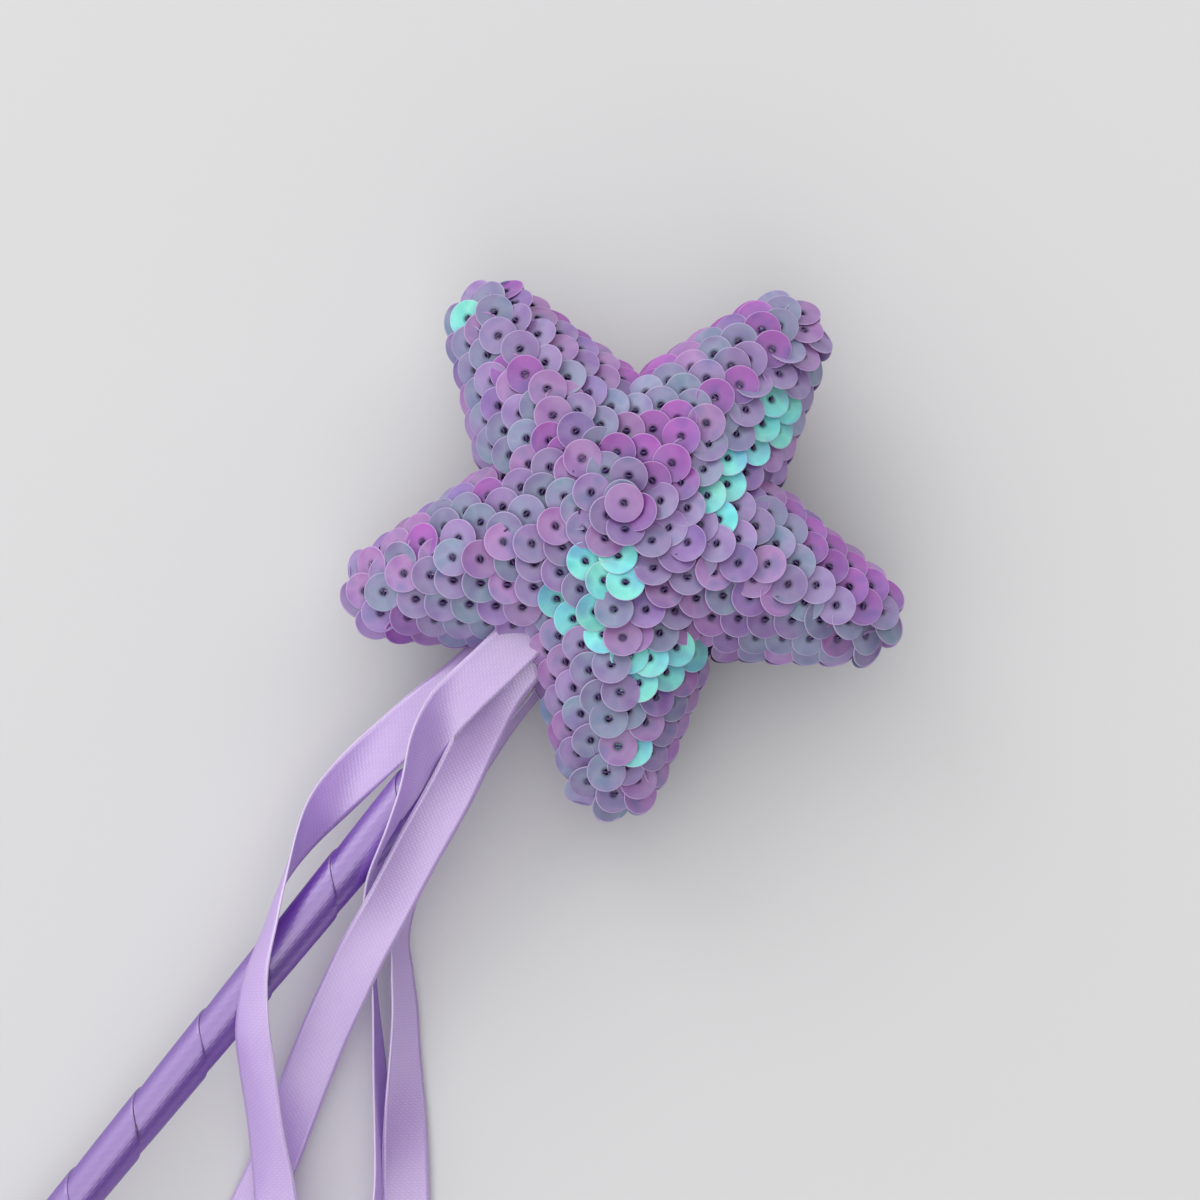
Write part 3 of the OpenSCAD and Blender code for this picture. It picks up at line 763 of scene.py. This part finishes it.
def build_stuffing(material):
    """The loose fibre inside the covers, with a way through it for the stick."""
    spokes, rings, inset = STUFFING_SPOKES, STUFFING_RINGS, COVER_T + STUFFING_GAP
    points = []
    for side in (1.0, -1.0):
        for i in range(rings + 1):
            t = ring_share(i, rings)
            for j in range(spokes):
                x, y, z = puffed(360 * j / spokes, t, inset, STUFFING_GAP)
                z -= STUFFING_GAP + LUMP * noise.noise(Vector((x, y, side * LUMP_PLACE)) * LUMP_SCALE)
                x, y, z = round_mouth((x, y, max(z, STUFFING_LEAST)), MOUTH_R)
                points.append((x, y, side * z))
    count = (rings + 1) * spokes
    sheet = grid_faces(rings + 1, spokes, wrap=True)
    faces = [f[::-1] for f in sheet] + [tuple(count + i for i in f) for f in sheet]
    faces += [tuple(range(spokes)), tuple(range(count, count + spokes))[::-1]]
    faces += rim_faces(rings * spokes, count, spokes)
    piece = mesh_piece("fibre_fill", lay(points), faces, material, slot="stuffing")
    return piece


def tube(points, radius):
    """Points and faces of a closed round tube along a line of points."""
    line = np.asarray(points, float)
    way = np.gradient(line, axis=0)
    out = []
    for p, w in zip(line, way):
        w = unit(w)
        a = unit(np.cross(w, TUBE_GUIDE))
        b = np.cross(w, a)
        for k in range(TUBE_SIDES):
            t = 2 * math.pi * k / TUBE_SIDES
            out.append(p + radius * (math.cos(t) * a + math.sin(t) * b))
    return out, tube_faces(len(line), TUBE_SIDES)


def build_seam(material):
    """Whip stitches that join the two covers round the edge."""
    points, faces = [], []
    up = np.array((0.0, 0.0, 1.0))
    for j in range(SEAM_COUNT):
        a = 360 * (j + 0.5) / SEAM_COUNT
        x, y = polar(a, outline(a, 0.0))
        if y < 0 and abs(x) < MOUTH_R + SEAM_ROOM:
            continue
        out = np.array((*polar(a, 1.0), 0.0))
        along = np.array((-cosd(a), -sind(a), 0.0))
        line = []
        for k in range(SEAM_LOOP + 1):
            t = math.pi * (k / SEAM_LOOP - 0.5)
            line.append(np.array((x, y, 0.0)) + (SEAM_OUT * math.cos(t) - SEAM_SINK) * out
                        + SEAM_HALF * math.sin(t) * up + SEAM_SLANT * math.sin(t) * along)
        ring, quads = tube(line, SEAM_THREAD_R)
        faces += [tuple(len(points) + i for i in f) for f in quads]
        points += ring
    return mesh_piece("seam_whip_stitches", lay(points), faces, material, slot="thread")


# Wound stick

# Section of the wound ribbon: share of the pitch along the stick, and height
WRAP_PROFILE = [
    (0.0, -0.22), (0.06, -0.2), (0.2, -0.12), (0.4, -0.05), (0.6, 0.0), (0.8, 0.05), (0.92, 0.07),
    (0.975, 0.08), (0.993, 0.06), (1.0, -0.04), (1.002, -0.3),
]
WRAP_STEPS, WRAP_SINK, WRAP_MARGIN = 48, 0.06, 0.03
SWAY, SWAY_PACE, SWAY_PLACE, SWAY_EDGE = 0.03, 1.3, 2.0, 0.9

# Section of the end turn: distance from the stick's end, and radius
END_PROFILE = [
    (0.0, WRAP_IN_R), (0.0, WRAP_R - 0.12), (0.25, WRAP_R), (0.9, WRAP_R), (1.05, WRAP_R - 0.07),
    (1.2, WRAP_R), (6.0, WRAP_R), (END_TURN_L - 0.3, WRAP_R), (END_TURN_L, WRAP_R - 0.15),
    (END_TURN_L, WRAP_IN_R), (0.0, WRAP_IN_R),
]
END_SIDES, END_MARGIN = 64, 0.05


def build_wrap(material):
    """The ribbon wound round the stick: each turn's edge lies over the turn before it."""
    y0 = -STICK_REACH + END_TURN_L + WRAP_GAP
    y1 = -NOTCH_R + WRAP_INSIDE
    first, last = -1.0, (y1 - y0) / WRAP_PITCH
    steps = int((last - first) * WRAP_STEPS)
    points, uvs = [], []
    for i in range(steps + 1):
        turn = first + (last - first) * i / steps
        angle = 2 * math.pi * turn
        sway = SWAY * noise.noise(Vector((turn * SWAY_PACE, SWAY_PLACE, 0.0)))
        for share, lift in WRAP_PROFILE:
            y = min(max(y0 + WRAP_PITCH * (turn + share + sway * (share > SWAY_EDGE)), y0), y1)
            r = WRAP_R - WRAP_SINK + lift
            points.append((-r * math.sin(angle), y, r * math.cos(angle)))
            uvs.append((WRAP_MARGIN + (1 - 2 * WRAP_MARGIN) * min(share, 1.0), turn * 2 * math.pi * WRAP_R))
    faces = grid_faces(steps + 1, len(WRAP_PROFILE))
    return mesh_piece("stick_ribbon", lay(points), faces, material, uvs, slot="wrap")


def build_end_turn(material):
    """The square turn of ribbon round the stick's free end, with a turned edge."""
    points, uvs = [], []
    for along, r in END_PROFILE:
        for k in range(END_SIDES):
            t = 2 * math.pi * k / END_SIDES
            points.append((-r * math.sin(t), along - STICK_REACH, r * math.cos(t)))
            uvs.append((END_MARGIN + (1 - 2 * END_MARGIN) * along / END_TURN_L, r * t))
    faces = grid_faces(len(END_PROFILE), END_SIDES, wrap=True)
    return mesh_piece("end_ribbon_turn", lay(points), faces, material, uvs, slot="wrap")


# Streamers

# Where each streamer is tucked in under the sequins, before its route
TUCKS = {
    "a": (-3.6, -18, 17.4, -45),
    "b": (1.2, -18, 18.6, 18),
    "c": (4.4, -18, 12.2, 85),
    "d": (-0.6, -18, 19.6, 0),
}
ROUTE_STEPS, ROUTE_LOW, RIBBON_LOW = 12, 0.6, 0.15
RIBBON_COLUMNS, RIBBON_MARGIN = 11, 0.01
CURLS = {"a": 0.5, "b": 0.35, "c": 0.3, "d": 0.45}
CURL_LEVEL, FREE_FROM, FREE_RISE = 0.4, 1.0, 4.0
RIPPLE, RIPPLE_PACE = 0.25, 0.21
FACE_SHARE, SELVEDGE_T, SELVEDGE_FROM = 0.3, 0.045, 0.92


def smooth_route(route):
    """A smooth line through a route's points: position from the star's centre and roll."""
    q = np.asarray(route, float)
    q = np.vstack([2 * q[0] - q[1], q, 2 * q[-1] - q[-2]])
    out = []
    for i in range(1, len(q) - 2):
        p0, p1, p2, p3 = q[i - 1:i + 3]
        for k in range(ROUTE_STEPS):
            f = k / ROUTE_STEPS
            out.append(0.5 * (2 * p1 + (p2 - p0) * f + (2 * p0 - 5 * p1 + 4 * p2 - p3) * f ** 2
                              + (3 * p1 - p0 - 3 * p2 + p3) * f ** 3))
    out.append(q[-2])
    out = np.array(out)
    out[:, 2] = np.maximum(out[:, 2], ROUTE_LOW)
    return out


def build_streamer(letter, material):
    """One limp satin ribbon on its route, with a slight curl across and thicker woven edges."""
    line = smooth_route([TUCKS[letter], *ROUTES[letter]])
    place = line[:, :3] + (0.0, STAR_Y, 0.0)
    way = np.gradient(place, axis=0)
    way /= np.linalg.norm(way, axis=1)[:, None]
    flat = np.cross(way, (0.0, 0.0, 1.0))
    flat /= np.linalg.norm(flat, axis=1)[:, None]
    up = np.cross(flat, way)
    roll = np.radians(line[:, 3])[:, None]
    wide = flat * np.cos(roll) + up * np.sin(roll)
    thick = np.cross(wide, way)
    travelled = run_lengths(place)
    across = np.linspace(-1.0, 1.0, RIBBON_COLUMNS)
    points, uvs = [], []
    for i in range(len(place)):
        lift = max(0.0, min(1.0, (place[i][2] - FREE_FROM) / FREE_RISE))
        ripple = RIPPLE * math.sin(travelled[i] * RIPPLE_PACE + ord(letter))
        for face in (1.0, -1.0):
            for c in across[::int(face)]:
                edge = SELVEDGE_T if abs(c) > SELVEDGE_FROM else 0.0
                curl = CURLS[letter] * lift * (c * c - CURL_LEVEL) + ripple * lift * c
                depth = curl + face * (STREAMER_T * FACE_SHARE + edge)
                points.append(place[i] + wide[i] * c * STREAMER_W / 2 + thick[i] * depth)
                uvs.append((0.5 + (0.5 - RIBBON_MARGIN) * c, travelled[i]))
    ring = 2 * RIBBON_COLUMNS
    points = np.array(points)
    points[:, 2] = np.maximum(points[:, 2], RIBBON_LOW)
    faces = [f[::-1] for f in grid_faces(len(place), ring, wrap=True)]
    for start, turn in ((0, 1), ((len(place) - 1) * ring, -1)):
        for k in range(RIBBON_COLUMNS - 1):
            quad = (start + k, start + k + 1, start + ring - 2 - k, start + ring - 1 - k)
            faces.append(quad[::turn])
    piece = mesh_piece("satin_streamer_" + letter, points * MM, faces, material, uvs, slot="ribbon")
    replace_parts(piece, "streamer_" + letter)


# Camera at the photograph's angle

CAMERA_AZ, CAMERA_EL, CAMERA_DIST, MM_PER_PIXEL, FRAME_PIXELS = 39.2, 80.0, 700.0, 0.154, 1200
STAR_PIXEL = (626.5, 528.5)
SENSOR = 36.0


def build_camera():
    back = np.array((sind(CAMERA_AZ) * cosd(CAMERA_EL), -cosd(CAMERA_AZ) * cosd(CAMERA_EL), sind(CAMERA_EL)))
    right = np.array((cosd(CAMERA_AZ), sind(CAMERA_AZ), 0.0))
    up = np.cross(back, right)
    star = np.array((0.0, STAR_Y, STAR_REST))
    half = FRAME_PIXELS / 2
    place = (star + CAMERA_DIST * back - right * (STAR_PIXEL[0] - half) * MM_PER_PIXEL
             - up * (half - STAR_PIXEL[1]) * MM_PER_PIXEL)
    data = bpy.data.cameras.new("camera")
    data.sensor_width = SENSOR
    data.lens = SENSOR * CAMERA_DIST / MM_PER_PIXEL / FRAME_PIXELS
    camera = bpy.data.objects.new("camera", data)
    bpy.context.scene.collection.objects.link(camera)
    camera.location = Vector(place * MM)
    camera.rotation_euler = Vector(back).to_track_quat("Z", "Y").to_euler()
    bpy.context.scene.camera = camera
    bpy.context.view_layer.update()


# Floor and light, in metres

FLOOR_HALF, FLOOR_Z = 3.0, -0.0002
WINDOW_PLACE, WINDOW_AIM_Z = Vector((-0.78, 0.13, 0.53)), 0.02
WINDOW_SIZE, WINDOW_POWER, ROOM_STRENGTH = 0.5, 1.2, 1.25


def build_floor():
    material, tree, shader = new_material("pale_floor", Roughness=0.85, Specular_IOR_Level=0.2)
    place = add(tree, "ShaderNodeTexCoord").outputs["Object"]
    cloud = noise_out(tree, place, 3.0, 2.0)
    tree.links.new(ramp(tree, cloud, [(0.3, "#d0d0d1"), (0.7, "#d4d4d5")]),
                   shader.inputs["Base Color"])
    mesh = bpy.data.meshes.new("floor")
    corners = [(x * FLOOR_HALF, y * FLOOR_HALF, FLOOR_Z) for x, y in ((-1, -1), (1, -1), (1, 1), (-1, 1))]
    mesh.from_pydata(corners, [], [(0, 1, 2, 3)])
    mesh.materials.append(material)
    floor = bpy.data.objects.new("floor", mesh)
    bpy.context.scene.collection.objects.link(floor)


def build_window():
    data = bpy.data.lights.new("window", "AREA")
    data.shape = "DISK"
    data.size = WINDOW_SIZE
    data.energy = WINDOW_POWER
    lamp = bpy.data.objects.new("window", data)
    bpy.context.scene.collection.objects.link(lamp)
    lamp.location = Vector((0.0, STAR_Y * MM, WINDOW_AIM_Z)) + WINDOW_PLACE
    lamp.rotation_euler = WINDOW_PLACE.to_track_quat("Z", "Y").to_euler()


def facing_level(tree, way, stops):
    """Light level of the room by how far a direction turns towards a given way."""
    facing = add(tree, "ShaderNodeVectorMath", operation="DOT_PRODUCT")
    facing.inputs[1].default_value = Vector(way).normalized()
    tree.links.new(add(tree, "ShaderNodeTexCoord").outputs["Generated"], facing.inputs[0])
    share = math_node(tree, "MULTIPLY_ADD", facing.outputs["Value"], 0.5, 0.5)
    return ramp(tree, share, stops)


def build_light():
    """A soft window low on the left, in a room that is bright there and above, and dark low on the right."""
    build_window()
    world = bpy.data.worlds.new("studio")
    bpy.context.scene.world = world
    world.use_nodes = True
    tree = world.node_tree
    bright = facing_level(tree, (-0.75, 0.25, 0.6), [(0.1, 0.55), (0.6, 0.85), (0.97, 1.0)])
    dark = facing_level(tree, (0.82, 0.22, 0.53), [(0.875, 1.0), (0.945, 0.05)])
    fill = facing_level(tree, (0.42, -0.36, 0.83), [(0.9, 1.0), (0.98, 1.7)])
    background = tree.nodes["Background"]
    room = mix(tree, 1.0, mix(tree, 1.0, bright, dark, "MULTIPLY"), fill, "MULTIPLY")
    tree.links.new(room, background.inputs["Color"])
    background.inputs["Strength"].default_value = ROOM_STRENGTH


def main():
    bpy.context.scene.view_settings.view_transform = "Standard"
    build_camera()
    ribbon = satin_material(
        "streamer_satin", face="#e8cefc", shade="#d8b6f4", edge="#f2e2fd", edge_at=0.467,
        roughness=0.36, ior=3.1, gloss="#fbf6ff", through=0.3, glow_tone="#d8b0fa",
    )
    for letter in ROUTES:
        build_streamer(letter, ribbon)
    film, thread = sequin_material(), thread_material()
    for name, front in (("front", True), ("back", False)):
        discs = build_sequins(name + "_sequins", front, film, thread)
        rows = [f"{name}_sequin_row_{k}" for k in range(1, CAD_ROWS + 1)]
        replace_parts(discs, *rows, name + "_sequin_ridges", name + "_sequin_crown")
    fabric = cloth_material()
    for name, front in (("front", True), ("back", False)):
        cover = build_cover(name + "_cloth", front, fabric)
        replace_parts(cover, f"star_{name}_cover")
    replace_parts(build_stuffing(stuffing_material()), "star_stuffing")
    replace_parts(build_seam(thread), "seam_stitches")
    # the dark edge tone of the wound ribbon is painted shadow where each turn's edge lies over the turn
    # before it
    wound = satin_material(
        "wound_satin", face="#5e16a2", shade="#50108e", edge="#42186e", edge_at=0.459,
        roughness=0.38, ior=3.3, gloss="#f4e4ff",
    )
    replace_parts(build_wrap(wound), "stick_wrap")
    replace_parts(build_end_turn(wound), "wrap_end_turn")
    for node, material in (("stick", wood_material()), ("glue_plug", glue_material())):
        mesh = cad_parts[node].data
        mesh.materials.clear()
        mesh.materials.append(material)
    build_floor()
    build_light()


main()
